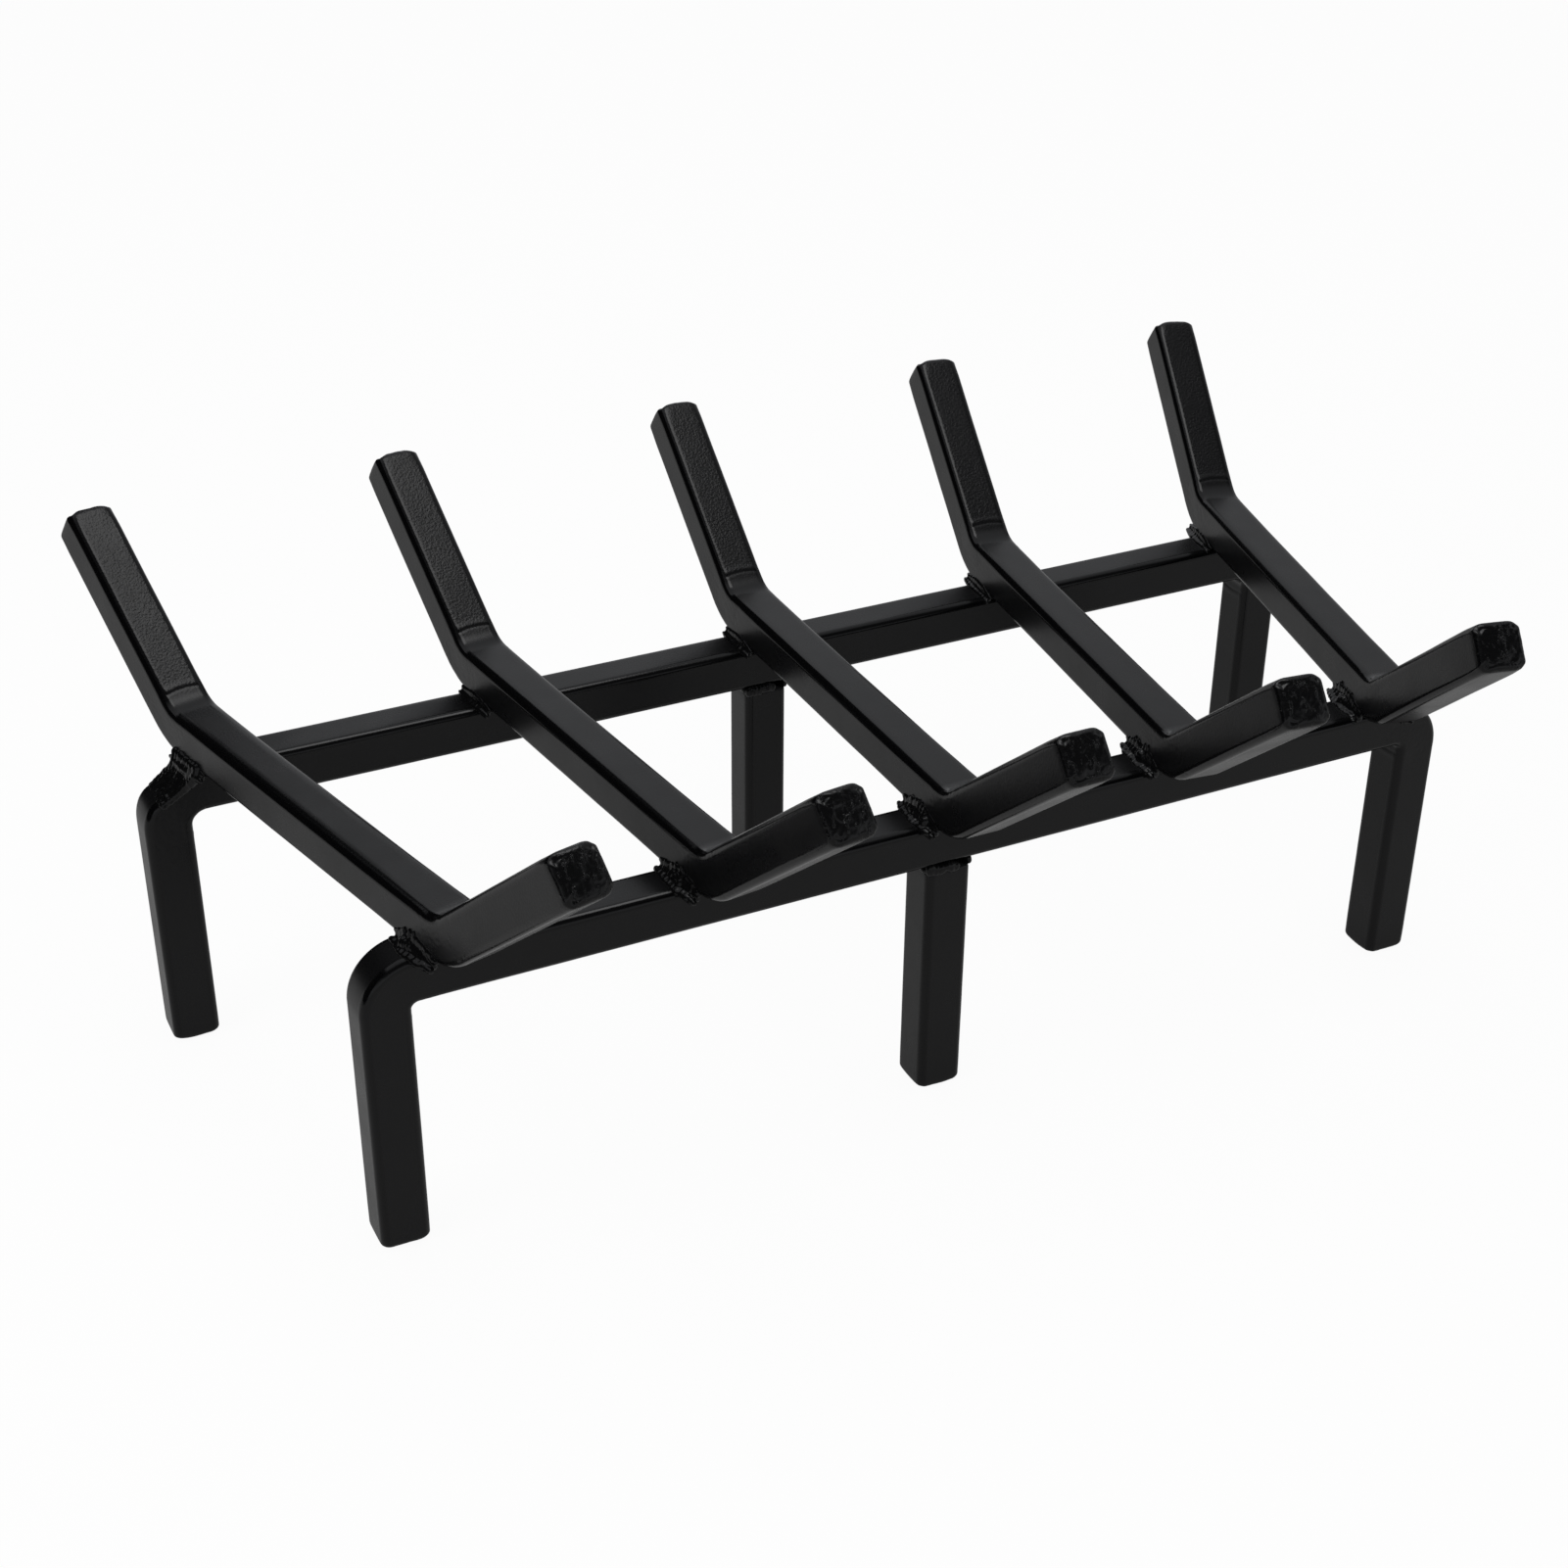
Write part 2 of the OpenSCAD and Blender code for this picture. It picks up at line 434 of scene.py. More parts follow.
def shapeSection(vert, marks):  # rounds a square grid's corners and notes where each vertex lies
    y, z = vert.co.y, vert.co.z
    share = max(abs(y), abs(z)) / half
    vert[marks["reach"]] = share
    if share < tiny:
        return
    rim = [y / share, z / share]
    less = 0 if abs(rim[0]) < abs(rim[1]) else 1
    over = (abs(rim[less]) - flat) / stock["edge"]
    if over > 0:
        angle = over * pi / 4
        rim[less] = (flat + stock["edge"] * sin(angle)) * (1 if rim[less] > 0 else -1)
        rim[1 - less] = (flat + stock["edge"] * cos(angle)) * (1 if rim[1 - less] > 0 else -1)
    vert.co.y, vert.co.z = rim[0] * share, rim[1] * share
    vert[marks["across"]] = rim[0] / half
    vert[marks["up"]] = rim[1] / half
    vert[marks["edge"]] = smooth(*stock["edgeFade"], over) if share > rimShare else 0.0


# distances of a straight run's rings, where each cut is a radius, or 0 beside a bend
def runStops(length, cutStart, cutEnd):
    stops = set()
    bows = [1 - cos(pi / 2 * k / stock["endSteps"]) for k in range(stock["endSteps"] + 1)]
    first, last = cutStart, length - cutEnd
    fine, count = stock["fineStep"], int(stock["fineRun"] / stock["fineStep"])
    if cutStart:
        stops.update(cutStart * bow for bow in bows[1:])
    else:
        stops.update(first + fine * k for k in range(1, count + 1))
        first += fine * count
    if cutEnd:
        stops.update(length - cutEnd * bow for bow in bows)
    else:
        stops.update(last - fine * k for k in range(count + 1))
        last -= fine * count
    steps = ceil((last - first) / stock["step"])
    stops.update(first + (last - first) * k / steps for k in range(1, steps + 1))
    stops = sorted(stops)
    return [s for k, s in enumerate(stops) if k == 0 or s - stops[k - 1] > tiny]


def insetAt(distance, radius):  # how much smaller the section is, near a cut end
    if distance >= radius:
        return 0.0
    return radius - sqrt(max(radius ** 2 - (radius - distance) ** 2, 0.0))


def grow(bm, rim, move, marks, along):  # adds one ring of faces and returns its far edges
    grown = bmesh.ops.extrude_edge_only(bm, edges=rim)["geom"]
    verts = [item for item in grown if isinstance(item, bmesh.types.BMVert)]
    bmesh.ops.transform(bm, matrix=move, space=Matrix(), verts=verts)
    for vert in verts:
        vert[marks["along"]] = along
    fresh = set(verts)
    return [item for item in grown if isinstance(item, bmesh.types.BMEdge)
            and item.verts[0] in fresh and item.verts[1] in fresh]


# moves are ("run", length) or ("turn", degrees, inner radius), and a turn up is positive
def sweepBar(moves, ends):
    bm = bmesh.new()
    marks = {word: bm.verts.layers.float.new(word) for word in layers}
    upright = Matrix.Rotation(radians(90), 4, "Y")
    cells = stock["cells"]
    bmesh.ops.create_grid(bm, x_segments=cells, y_segments=cells, size=half, matrix=upright)
    for vert in bm.verts:
        shapeSection(vert, marks)
    size = 1 - ends[0] / half
    bmesh.ops.scale(bm, vec=(size, size, size), verts=bm.verts)
    cap = bm.verts[:] + bm.edges[:] + bm.faces[:]
    ring = [item for item in bm.edges if item.is_boundary]
    spot, heading, along, whole = Vector(), 0.0, 0.0, Matrix()
    shape = {"marks": marks, "bends": []}
    for index, move in enumerate(moves):
        if move[0] == "run":
            length = move[1]
            cutStart = ends[0] if index == 0 else 0.0
            cutEnd = ends[1] if index == len(moves) - 1 else 0.0
            direction = Vector((cos(heading), 0, sin(heading)))
            before = 0.0
            for stop in runStops(length, cutStart, cutEnd):
                nextSize = 1 - max(insetAt(stop, cutStart), insetAt(length - stop, cutEnd)) / half
                target = spot + direction * (stop - before)
                along += stop - before
                matrix = (Matrix.Translation(target) @ Matrix.Scale(nextSize / size, 4)
                          @ Matrix.Translation(-spot))
                ring = grow(bm, ring, matrix, marks, along)
                whole = matrix @ whole
                spot, size, before = target, nextSize, stop
        else:
            angle, inner = radians(move[1]), move[2]
            side = 1 if angle > 0 else -1
            centre = spot + side * (inner + half) * Vector((-sin(heading), 0, cos(heading)))
            steps = ceil(abs(move[1]) / stock["turnStep"])
            matrix = (Matrix.Translation(centre) @ Matrix.Rotation(-angle / steps, 4, "Y")
                      @ Matrix.Translation(-centre))
            middle = Matrix.Rotation(-angle / 2, 4, "Y") @ (spot - centre)
            corner = centre + middle.normalized() * inner
            bend = {"side": side, "start": along, "centre": centre, "corner": corner}
            for k in range(steps):
                along += (inner + half) * abs(angle) / steps
                ring = grow(bm, ring, matrix, marks, along)
                whole = matrix @ whole
                spot = matrix @ spot
                heading += angle / steps
            bend["end"] = along
            shape["bends"].append(bend)
    farCap = bmesh.ops.duplicate(bm, geom=cap)["geom"]  # the far end closes with a copy of the near one
    verts = [item for item in farCap if isinstance(item, bmesh.types.BMVert)]
    bmesh.ops.transform(bm, matrix=whole, space=Matrix(), verts=verts)
    for vert in verts:
        vert[marks["along"]] = along
    bmesh.ops.remove_doubles(bm, verts=bm.verts, dist=tiny)
    shape["total"] = along
    shape["outward"] = (Vector((-1, 0, 0)), Vector((cos(heading), 0, sin(heading))))
    return bm, shape


# wear, cuts and creases on a bar

wear = {
    "sink": 0.00012,  # keeps the worn skin inside the true size
    "wave": 0.000025,  # slow unevenness of the rolled faces
    "wavePerMetre": 90,
    "fineWave": 0.12,  # and a finer one on it, as a share
    "fineWavePerMetre": 330,
    "chip": 0.000012,  # unevenness of the long edges
    "chipPerMetre": 300,
    "chipBias": 0.3,
    "shoulder": 0.00034,  # how far a cradle bar's seat falls away towards its long edges
    "railShoulder": 0.00008,
    "shoulderRun": 0.0020,  # how wide the fall is, on top and underneath
    "sideRun": 0.0003,  # and on the sides
    "shoulderLeast": 0.25,
    "shoulderFade": 0.040,  # less of it this close to a bend
    "shoulderPerMetre": 35,
    "endShoulder": 1.8,  # and more of it round a cut end
    "endReach": 0.012,
    "cutLump": 0.00026,
    "cutLumpPerMetre": 160,
    "cutPit": 0.00008,
    "cutPitPerMetre": 380,
    "cutSink": 1.1,  # how many lumps a cut end sinks
    "hollow": 1.6,  # and how many its hollows are deep
    "hollowPerMetre": 200,
    "hollowFade": (0.25, 0.6),
    "dome": 0.00045,  # how far a cut end falls back towards its rim
    "domeReach": 0.010,
    "band": 0.003,  # how far the rough cut reaches along the bar
    # how strongly the cut band takes the cut's roughness, scratches and darker paint, the last being
    # painted shade
    "bandPaint": 1.5,
    "lip": 0.00003,
    "lipIn": 0.0003,
    "lipWide": 0.00035,
    "lipPerMetre": 120,
    "bendReach": 0.016,  # how far a bend's wear reaches along the bar
    "creaseFar": 0.0012,  # from the end of the bend to the crease, on the arm
    "creaseBow": 0.0015,
    "creaseDeep": 0.00020,
    "creaseWide": 0.00045,
    "creaseFade": (0.62, 0.82),
    "rollHigh": 0.00016,
    "rollFar": 0.0016,  # from the crease
    "rollWide": 0.0012,
    "upset": 0.00012,  # how far the sides swell round the inside of a bend
    "upsetFade": (0.003, 0.013),
    "scale": 0.00003,  # cracked mill scale over a tight bend
    "scalePerMetre": 420,
    "drawnAt": 58.0,  # degrees up the outside of a rail's bend
    "drawnWide": 21.0,
    "drawnFall": 1.5,
}

skins = {  # how leathery the paint is, 0 to 1
    "rail": 0.12,
    "seat": 0.10,
    "arm": 0.15,  # more than on the seat
    "armInside": 0.75,  # and more again
    "armFade": (-0.002, 0.006),  # metres past the bend
    "insideFade": (0.6, 0.9),
}


def wearAt(vert, shape, seed):  # how far a vertex moves along its normal, and how rough a cut it is on
    marks, bends = shape["marks"], shape["bends"]
    place = vert.co
    across, up = vert[marks["across"]], vert[marks["up"]]
    edge, along, rim = vert[marks["edge"]], vert[marks["along"]], vert[marks["reach"]] > rimShare
    toEnd = min(along, shape["total"] - along)
    wave = grain(place, wear["wavePerMetre"], seed)
    wave += wear["fineWave"] * grain(place, wear["fineWavePerMetre"], seed)
    amount = -wear["sink"] + wear["wave"] * wave
    if rim:
        apart = min(along - bends[0]["end"], bends[1]["start"] - along) if bends else 1.0
        least = wear["shoulderLeast"]
        ease = least + (1 - least) * smooth(0.0, wear["shoulderFade"], apart)
        ease += least * grain(place, wear["shoulderPerMetre"], seed + 5)
        ease += (wear["endShoulder"] - ease) * (1 - smooth(0.0, wear["endReach"], toEnd))
        fallFrom = flat - wear["shoulderRun" if abs(up) > abs(across) else "sideRun"]
        lesser = min(abs(across), abs(up)) * half
        amount -= shape["shoulder"] * smooth(fallFrom, cornerMiddle, lesser) * ease
    if edge > 0:
        amount += edge * wear["chip"] * (grain(place, wear["chipPerMetre"], seed) - wear["chipBias"])
    rough = 1 - smooth(0.0, wear["band"], toEnd)
    if rough > 0:
        lump = wear["cutLump"] * grain(place, wear["cutLumpPerMetre"], seed + 1)
        amount += rough * (lump + wear["cutPit"] * crag(place, wear["cutPitPerMetre"], seed + 2))
        amount -= rough * wear["cutSink"] * wear["cutLump"]
    if not rim:
        hollow = smooth(*wear["hollowFade"], grain(place, wear["hollowPerMetre"], seed + 3))
        amount -= wear["hollow"] * wear["cutLump"] * hollow
    tight = 0.0
    for bend in bends:
        beyond = max(bend["start"] - along, along - bend["end"], 0.0)
        near = 1 - smooth(0.0, wear["bendReach"], beyond)
        tight = max(tight, near)
        if up * bend["side"] > faceShare and rim:
            out = (bend["start"] - along) if bend is bends[0] else (along - bend["end"])
            line = wear["creaseFar"] + wear["creaseBow"] * (1 - across * across)
            fade = 1 - smooth(*wear["creaseFade"], abs(across))
            amount += wear["rollHigh"] * bump(out, line + wear["rollFar"], wear["rollWide"]) * fade
            amount -= wear["creaseDeep"] * bump(out, line, wear["creaseWide"]) * fade
        if abs(across) > faceShare and rim:
            away = (Vector((place.x, 0, place.z)) - bend["corner"]).length
            amount += wear["upset"] * (1 - smooth(*wear["upsetFade"], away))
            amount += near * wear["scale"] * crag(place, wear["scalePerMetre"], seed + 6)
    if rim and abs(up) > 0.99:  # a faint lip beside each long edge, stronger round a bend
        crest = bump(abs(across) * half, flat - wear["lipIn"], wear["lipWide"])
        uneven = 0.7 + 0.5 * grain(place, wear["lipPerMetre"], seed)
        amount += wear["lip"] * (1 + tight) * crest * uneven
    return amount, rough


def skinAt(vert, shape):  # the leathery paint is strongest on the inside of an arm, faintest on the seats
    marks, bends = shape["marks"], shape["bends"]
    along = vert[marks["along"]]
    if len(bends) < 2 or bends[0]["side"] < 0:
        return skins["rail"]
    out = max(bends[0]["start"] - along, along - bends[1]["end"])
    inside = smooth(*skins["insideFade"], vert[marks["up"]]) * (1 - vert[marks["edge"]])
    return skins["seat"] + smooth(*skins["armFade"], out) * (skins["arm"] + skins["armInside"] * inside)


def domeAt(vert, shape):  # lets a cut end fall back towards its rim
    marks = shape["marks"]
    along = vert[marks["along"]]
    first = along < shape["total"] / 2
    near = 1 - smooth(0.0, wear["domeReach"], along if first else shape["total"] - along)
    spread = vert[marks["reach"]] ** 2 * (vert[marks["across"]] ** 2 + vert[marks["up"]] ** 2)
    return -wear["dome"] * near * spread * shape["outward"][0 if first else 1]


def drawnAt(vert, shape, depth):  # thins the outside of a rail's bends, where the bar was drawn out
    marks = shape["marks"]
    moved = Vector()
    for bend in shape["bends"]:
        share = (vert[marks["along"]] - bend["start"]) / (bend["end"] - bend["start"])
        fromLeg = 90.0 * (share if bend is shape["bends"][0] else 1 - share)
        outer = (1 - vert[marks["up"]] * bend["side"]) / 2
        away = Vector((vert.co.x - bend["centre"].x, 0, vert.co.z - bend["centre"].z)).normalized()
        amount = depth * bump(fromLeg, wear["drawnAt"], wear["drawnWide"])
        moved -= away * amount * outer ** wear["drawnFall"]
    return moved


def finishBar(name, moves, place, seed, ends, shoulder, drawn=0.0):
    bm, shape = sweepBar(moves, ends)
    shape["shoulder"] = shoulder
    bmesh.ops.recalc_face_normals(bm, faces=bm.faces)
    if drawn:
        for vert, shift in [(vert, drawnAt(vert, shape, drawn)) for vert in bm.verts]:
            vert.co += shift
    bm.normal_update()
    shifts = []
    for vert in bm.verts:
        amount, rough = wearAt(vert, shape, seed)
        vert[shape["marks"]["cut"]] = min(1.0, rough * wear["bandPaint"])
        vert[shape["marks"]["skin"]] = skinAt(vert, shape)
        shifts.append(vert.normal * amount + domeAt(vert, shape))
    for vert, shift in zip(bm.verts, shifts):
        vert.co += shift
    bmesh.ops.transform(bm, matrix=place, verts=bm.verts)
    for face in bm.faces:
        face.smooth = True
    bm.verts.sort(key=lambda vert: rank(vert.co))
    bm.edges.sort(key=lambda edge: rank(edge.verts[0].co + edge.verts[1].co))
    bm.faces.sort(key=lambda face: rank(face.calc_center_median()))
    loose = sum(1 for item in bm.edges if len(item.link_faces) != 2)
    mesh = bpy.data.meshes.new(name)
    bm.to_mesh(mesh)
    bm.free()
    mesh.materials.append(barFinish)
    piece = bpy.data.objects.new(name, mesh)
    bpy.context.scene.collection.objects.link(piece)
    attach(piece, "root")
    print(name, len(mesh.vertices), "vertices,", loose, "loose edges")
    return piece


# rails and legs

rails = {
    "back_rail": {"bend": 0.0025, "overhang": 0.031, "drawn": 0.0},
    "front_rail": {"bend": 0.006, "overhang": 0.029, "drawn": 0.0060},
}


def boxOf(name):
    low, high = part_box(name)
    return low, high, (low + high) / 2


def makeRail(name, seed):
    low, high, middle = boxOf(name)
    bend, drawn = rails[name]["bend"], rails[name]["drawn"]
    width, height = high.x - low.x, high.z - low.z
    run = width - 2 * (bend + stock["side"])
    leg = height - bend - stock["side"]
    moves = [("run", leg), ("turn", -90, bend), ("run", run), ("turn", -90, bend), ("run", leg)]
    place = Matrix.Translation((low.x + half, middle.y, low.z)) @ Matrix.Rotation(radians(-90), 4, "Y")
    piece = finishBar(name + "_steel", moves, place, seed, stock["ends"], wear["railShoulder"], drawn)
    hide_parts(name)


def makeMiddleLeg(name, seed):
    low, high, middle = boxOf(name)
    moves = [("run", high.z - low.z)]
    place = Matrix.Translation((middle.x, middle.y, low.z)) @ Matrix.Rotation(radians(-90), 4, "Y")
    piece = finishBar(name + "_steel", moves, place, seed, stock["ends"], wear["railShoulder"])
    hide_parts(name)


makeRail("back_rail", 1)
makeRail("front_rail", 2)
makeMiddleLeg("back_middle_leg", 3)
makeMiddleLeg("front_middle_leg", 4)
print("rails and legs ready")

# cradle bars

cradle = {
    "count": 5,
    "armAngle": 40.0,
    "armLength": 0.094,
    "armBend": 0.014,  # inside radius, drawn softer than the CAD solid's
    "backSeat": 0.0075,  # how far a seat reaches past the rail's side, at the back and at the front
    "frontSeat": 0.001,
}


def crossing(rail, i):  # where bar i lies over a rail: the middle of the rail's top
    low, high, middle = boxOf(rail)
    pitch = ((high.x - low.x) - 2 * rails[rail]["overhang"]) / (cradle["count"] - 1)
    return Vector(((i - (cradle["count"] + 1) / 2) * pitch, middle.y, high.z))


def barTurn(i):
    span = crossing("front_rail", i) - crossing("back_rail", i)
    return atan2(span.x, span.y)


def makeBar(i):
    name = "grate_bar_%d" % i
    back, front = crossing("back_rail", i), crossing("front_rail", i)
    angle = radians(cradle["armAngle"])
    crease = cradle["armBend"] * tan(angle / 2)
    seat = cradle["backSeat"] + stock["side"] + (front.y - back.y) + cradle["frontSeat"]
    arm = cradle["armLength"] - crease
    moves = [("run", arm), ("turn", cradle["armAngle"], cradle["armBend"]), ("run", seat - 2 * crease),
             ("turn", cradle["armAngle"], cradle["armBend"]), ("run", arm)]
    tip = Vector((-seat / 2 - cradle["armLength"] * cos(angle) - half * sin(angle), 0,
                  half + cradle["armLength"] * sin(angle) - half * cos(angle)))
    atMiddle = back.x + (0 - back.y) / (front.y - back.y) * (front.x - back.x)
    place = (Matrix.Translation((atMiddle, 0, back.z + half))
             @ Matrix.Rotation(pi / 2 - barTurn(i), 4, "Z")
             @ Matrix.Translation(tip) @ Matrix.Rotation(angle, 4, "Y"))
    piece = finishBar(name + "_steel", moves, place, 10 + i, stock["barEnds"], wear["shoulder"])
    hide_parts(name)


for i in range(1, cradle["count"] + 1):
    makeBar(i)
print("cradle bars ready")

# welds

welds = {
    "voxel": 0.00040,
    "smoothing": 3,
    "calmSmoothing": 12,
    "lump": 0.00016,
    "lumpPerMetre": 180,
    "shard": 0.00014,
    "shardPerMetre": 620,
    "shardDrawn": 0.75,  # how far the shards are drawn out across the bead
    "ripple": 0.00022,
    "calm": 0.35,  # share of all three on the front rail's smoother welds
    "runDownCalm": 0.7,  # and on its first one
    "pitch": 0.0026,  # from one ridge of a bead to the next
    "ridgeBow": 0.0014,
    "ridgeStray": 0.0012,
    "ridgeEdge": 0.6,  # below 1 a ridge is sharp
}

fillets = {
    "out": 0.0052,  # how far a crossing's bead reaches over the rail
    "up": 0.0066,  # and up the bar
    "drip": 0.0014,  # how far it runs past the rail's edge on a bar's overhanging side
    "dripShort": 0.001,
    "sag": 0.4,
    "stations": 10,
    "fall": 0.35,  # how much thinner a bead is at its ends
    "smallest": 0.45,
    "core": (0.0030, 0.62, 0.60),  # length, and shares of the reach out and up
    "coreIn": 0.0005,
    "toeLong": 0.0044,
    "toeIn": 0.0006,
    "toeOut": (0.50, 0.0015),  # share of the reach, and thickness
    "toeUp": (0.55, 0.45, 0.0014),  # shares of its place and reach, and thickness
    "drops": 2,
    "feathers": 4,
}

runDown = {  # the hollow run from bar 1's side down over the front rail's left bend
    "foot": (0.0165, 0.0126),  # how far its foot lies from the bend's outside, along and up
    "start": (0.0002, 0, 0.0026),
    "heel": (-0.0011, 0, -0.0077),
    "rowStep": 0.0027,
    "wander": 0.0009,
    "size": 0.0022,
}

legBead = {  # values for a leg's flush sides and for the other two
    "inset": (0.0013, 0.0),
    "deep": (0.0021, 0.0014),
    "tall": (0.0031, 0.0021),
    "start": (-0.0078, -0.0060),
    "run": (0.0105, 0.0120),
    "long": 0.0020,
}


def blob(place, along, out, sizes):  # an ellipsoid, sized along the bead, out of the joint and up
    turned = Matrix((along, out, along.cross(out))).transposed().to_4x4()
    return Matrix.Translation(place) @ turned @ Matrix.Diagonal((sizes[0], sizes[1], sizes[2], 1.0))


def rippleAt(place, bead, seed):  # thin ridges across a bead, bowed like a run of molten metal
    origin, along, out = bead
    away = place - origin
    lean = atan2(abs(away.z), max(away.dot(out), tiny)) - pi / 4
    wave = away.dot(along) + welds["ridgeBow"] * lean * lean + welds["ridgeStray"] * grain(place, 110, seed)
    crest = 1 - abs(sin(pi * wave / welds["pitch"])) ** welds["ridgeEdge"]
    return (crest - 0.3) * (0.6 + grain(place, 130, seed + 4))


# ellipsoids melted into one lump, then rippled and pitted
def makeWeld(name, blobs, beads, seed, wild=1.0):
    bm = bmesh.new()
    for matrix in blobs:
        bmesh.ops.create_icosphere(bm, subdivisions=3, radius=1.0, matrix=matrix)
    mesh = bpy.data.meshes.new(name)
    bm.to_mesh(mesh)
    bm.free()
    piece = bpy.data.objects.new(name, mesh)
    bpy.context.scene.collection.objects.link(piece)
    melt = piece.modifiers.new("melt", "REMESH")
    melt.mode = "VOXEL"
    melt.voxel_size = welds["voxel"]
    soften = piece.modifiers.new("soften", "SMOOTH")
    soften.iterations = welds["smoothing" if wild == 1.0 else "calmSmoothing"]
    melted = bpy.data.meshes.new_from_object(piece.evaluated_get(bpy.context.evaluated_depsgraph_get()))
    piece.modifiers.clear()
    piece.data = melted
    melted.name = name
    bpy.data.meshes.remove(mesh)
    bm = bmesh.new()
    bm.from_mesh(melted)
    bm.normal_update()
    shifts = []
    drawn = welds["shardDrawn"]
    for vert in bm.verts:
        place = vert.co
        bead = min(beads, key=lambda item: (place - item[0]).length)
        streak = (1 - drawn) * place + drawn * bead[1] * (place - bead[0]).dot(bead[1])
        amount = welds["lump"] * grain(place, welds["lumpPerMetre"], seed)
        amount += welds["shard"] * crag(streak, welds["shardPerMetre"], seed + 7)
        amount += welds["ripple"] * rippleAt(place, bead, seed)
        shifts.append(vert.normal * amount * wild)
    for vert, shift in zip(bm.verts, shifts):
        vert.co += shift
    for face in bm.faces:
        face.smooth = True
    bm.to_mesh(melted)
    bm.free()
    melted.materials.clear()
    melted.materials.append(weldFinish)
    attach(piece, "root")
    print(name, len(melted.vertices), "vertices")
    return piece


# blobs of a bead between a bar's side and a rail's top
def fillet(corner, along, out, reach, drip, wild, dice):
    up = Vector((0, 0, 1))
    smallest, toeLong = fillets["smallest"], fillets["toeLong"]
    coreLong, coreWide, coreHigh = fillets["core"]
    (outWide, outThick), (upPlace, upHigh, upThick) = fillets["toeOut"], fillets["toeUp"]
    blobs = []
    for k in range(fillets["stations"]):
        t = k / (fillets["stations"] - 1)
        s = -(reach + drip) + (2 * reach + drip - fillets["dripShort"]) * t
        past = max(-s - reach + fillets["dripShort"], 0.0)  # past the rail's edge the bead sags
        taper = (smallest + (1 - smallest) * wild) * (1 - fillets["fall"] * (2 * t - 1) ** 2)
        high = fillets["up"] * taper * (1 + wild * dice.uniform(-0.12, 0.12))
        wide = fillets["out"] * taper * (1 + wild * dice.uniform(-0.10, 0.10))
        place = corner + along * s - up * fillets["sag"] * past
        for shift, sizes in (  # a core, a toe over the rail and a toe up the bar leave the bead hollow
                (-fillets["coreIn"] * out, (coreLong, coreWide * wide, coreHigh * high)),
                (outWide * wide * out - fillets["toeIn"] * up, (toeLong, outWide * wide, outThick)),
                (upPlace * high * up - fillets["toeIn"] * out, (toeLong, upThick, upHigh * high))):
            blobs.append(blob(place + shift, along, out, sizes))
    if wild < 1.0:
        return blobs
    for k in range(fillets["drops"]):  # rounder drops where the run stopped
        s = dice.uniform(-0.8, 0.4) * reach
        radius = dice.uniform(0.0020, 0.0029)
        place = corner + along * s + out * dice.uniform(0.0006, 0.0014) + up * dice.uniform(0.0006, 0.0022)
        blobs.append(blob(place, along, out, (radius, 0.9 * radius, radius)))
    for k in range(fillets["feathers"]):  # feathers that run up the bar's side
        s = dice.uniform(-0.7, 0.6) * reach
        place = corner + along * s + up * 0.0040 + out * 0.0001
        tall = dice.uniform(0.0025, 0.0045)
        blobs.append(blob(place, along, out, (dice.uniform(0.0006, 0.0010), 0.0009, tall)))
    return blobs


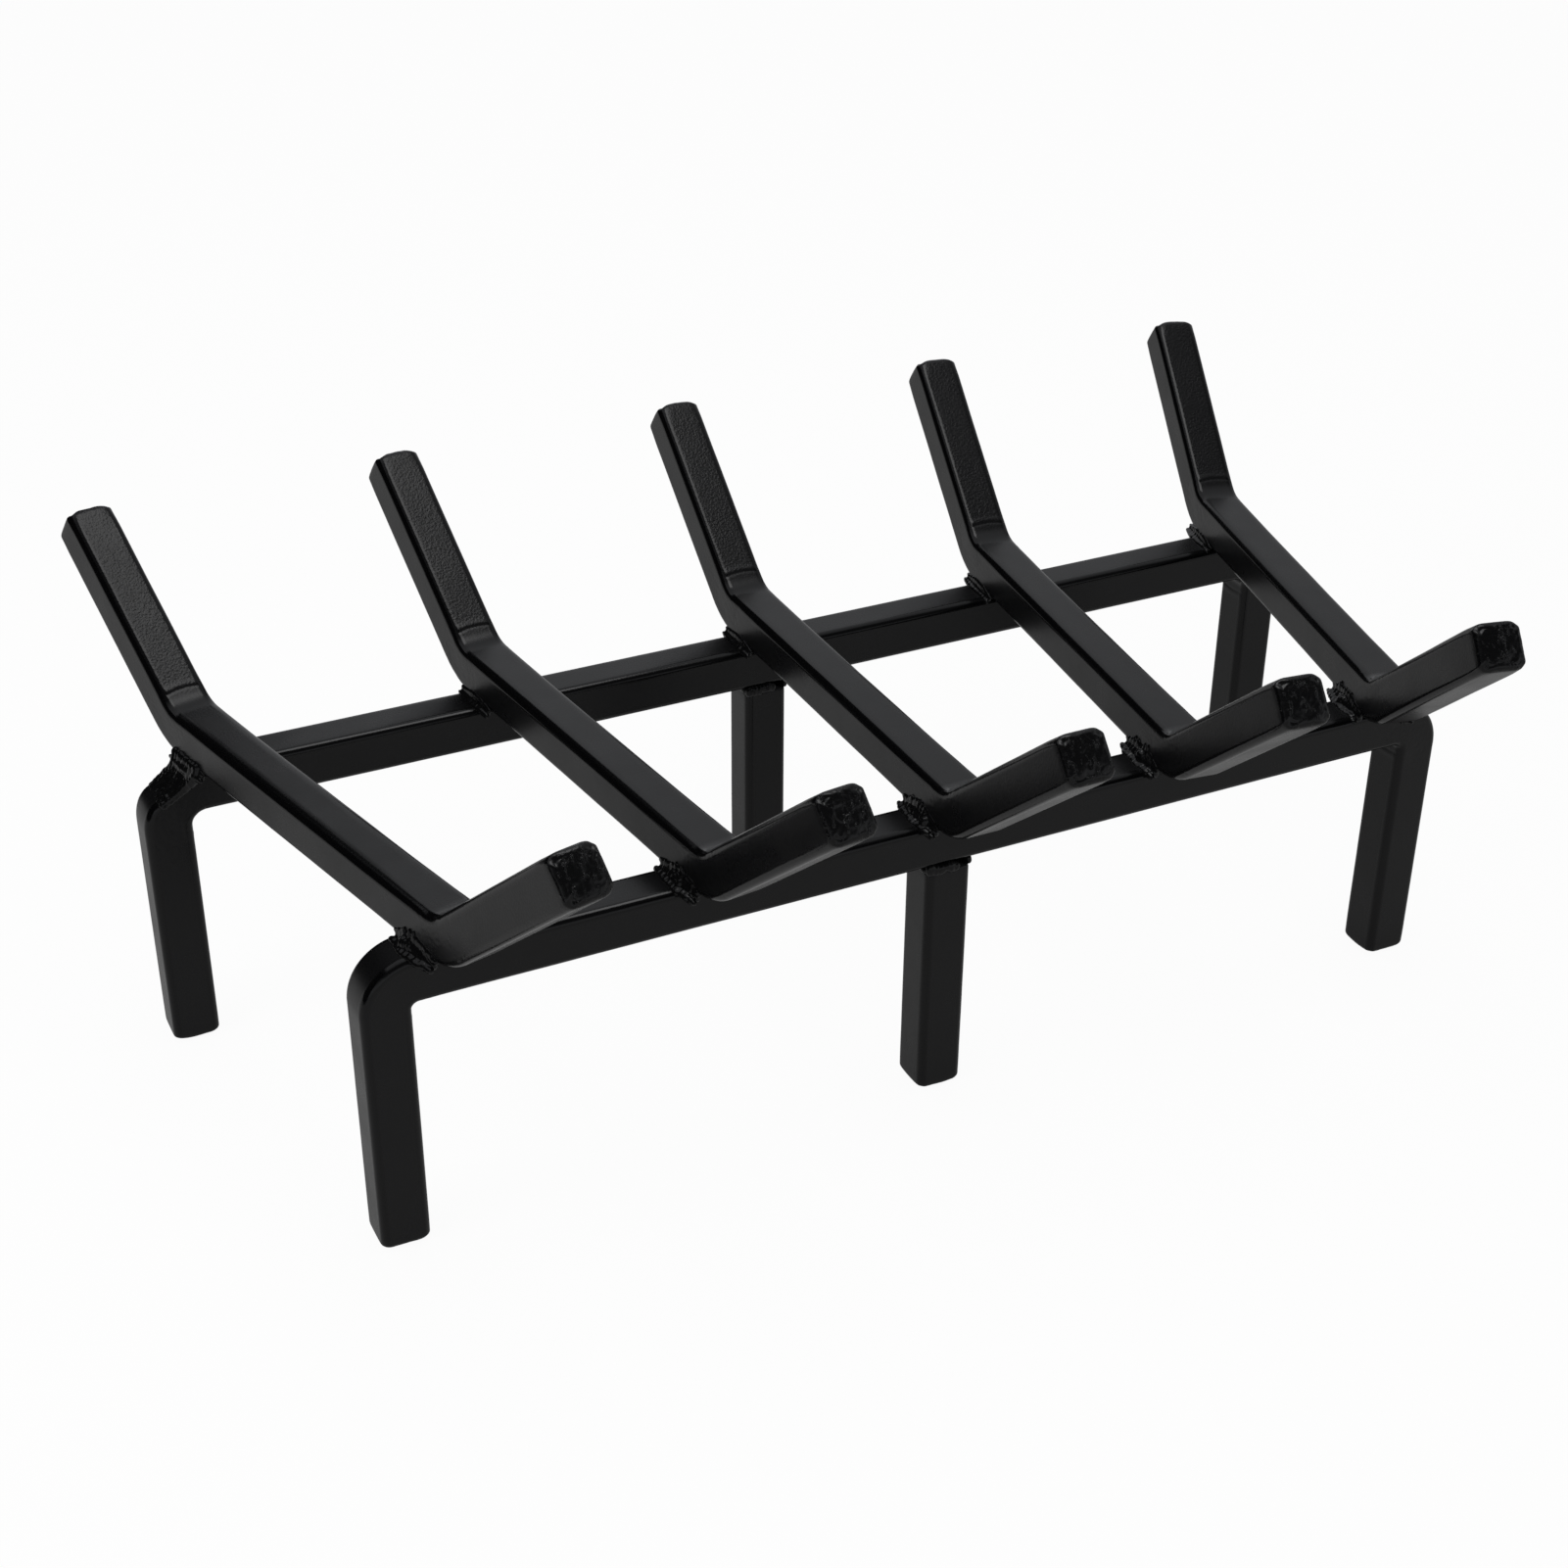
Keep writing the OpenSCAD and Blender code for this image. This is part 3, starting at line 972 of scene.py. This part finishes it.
def runDownBlobs(corner, ahead, dice):
    low, high, middle = boxOf("front_rail")
    radius = rails["front_rail"]["bend"] + stock["side"]
    inward, above = runDown["foot"]
    foot = Vector((low.x + radius - inward, middle.y, high.z - radius + above))
    blobs = []
    for row in range(-3, 4):
        aside = row * runDown["rowStep"]
        top = corner + ahead * (aside / ahead.y) + Vector(runDown["start"])
        heel = top + Vector(runDown["heel"])
        end = foot + Vector((0, aside, 0))
        for step in range(11):
            t = step / 10
            place = top * (1 - t) ** 2 + heel * (2 * t * (1 - t)) + end * t ** 2
            place.y += runDown["wander"] * sin(7 * t + 0.9 * row)
            size = runDown["size"] * (1 + 0.10 * sin(2.1 * row + 5 * t) + dice.uniform(-0.05, 0.05))
            blobs.append(blob(place, Vector((0, 1, 0)), Vector((-1, 0, 0)), (0.8 * size, size, size)))
    return blobs


def crossingWeld(rail, prefix, i):
    name = "%s_%d" % (prefix, i)
    dice = random.Random(100 * i + len(rail))
    spot = crossing(rail, i)
    turn = barTurn(i)
    ahead = Vector((sin(turn), cos(turn), 0))
    lateral = Vector((cos(turn), -sin(turn), 0))
    reach = half / cos(turn)
    drip = fillets["drip"] if rail == "back_rail" and i > 1 else 0.0
    wild = 1.0 if rail == "back_rail" else welds["calm"]
    blobs, beads = [], []
    for side in (-1, 1):
        corner = spot + side * half * lateral - ahead * (side * half * tan(turn))
        out = side * lateral
        blobs += fillet(corner, ahead, out, reach, drip, wild, dice)
        beads.append((corner, ahead, out))
    if name == "weld_front_1":
        wild = welds["runDownCalm"]
        blobs += runDownBlobs(beads[0][0], ahead, dice)
    piece = makeWeld(name + "_bead", blobs, beads, i, wild)
    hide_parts(name)


def legWeld(name, rail):
    dice = random.Random(len(name))
    low, high, middle = boxOf(rail)
    under = Vector((0, middle.y, high.z - stock["side"]))
    blobs, beads = [], []
    for turn in range(4):
        out = Vector((cos(turn * pi / 2), sin(turn * pi / 2), 0))
        side = Vector((-out.y, out.x, 0))
        which = 0 if turn % 2 == 1 else 1  # the faces of rail and leg are flush at the front and the back
        corner = under + out * (half - legBead["inset"][which])
        beads.append((corner, side, out))
        for k in range(6):
            t = k / 5
            reach = legBead["start"][which] + legBead["run"][which] * t
            deep = legBead["deep"][which] * dice.uniform(0.85, 1.1)
            tall = legBead["tall"][which] * (1 - 0.3 * t) * dice.uniform(0.85, 1.15)
            place = corner + side * reach - Vector((0, 0, dice.uniform(0.0008, 0.0020)))
            blobs.append(blob(place, side, out, (legBead["long"], deep, tall)))
    piece = makeWeld(name + "_bead", blobs, beads, 31)
    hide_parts(name)


for i in range(1, cradle["count"] + 1):
    crossingWeld("back_rail", "weld_back", i)
    crossingWeld("front_rail", "weld_front", i)
legWeld("weld_back_leg", "back_rail")
legWeld("weld_front_leg", "front_rail")
print("welds ready")
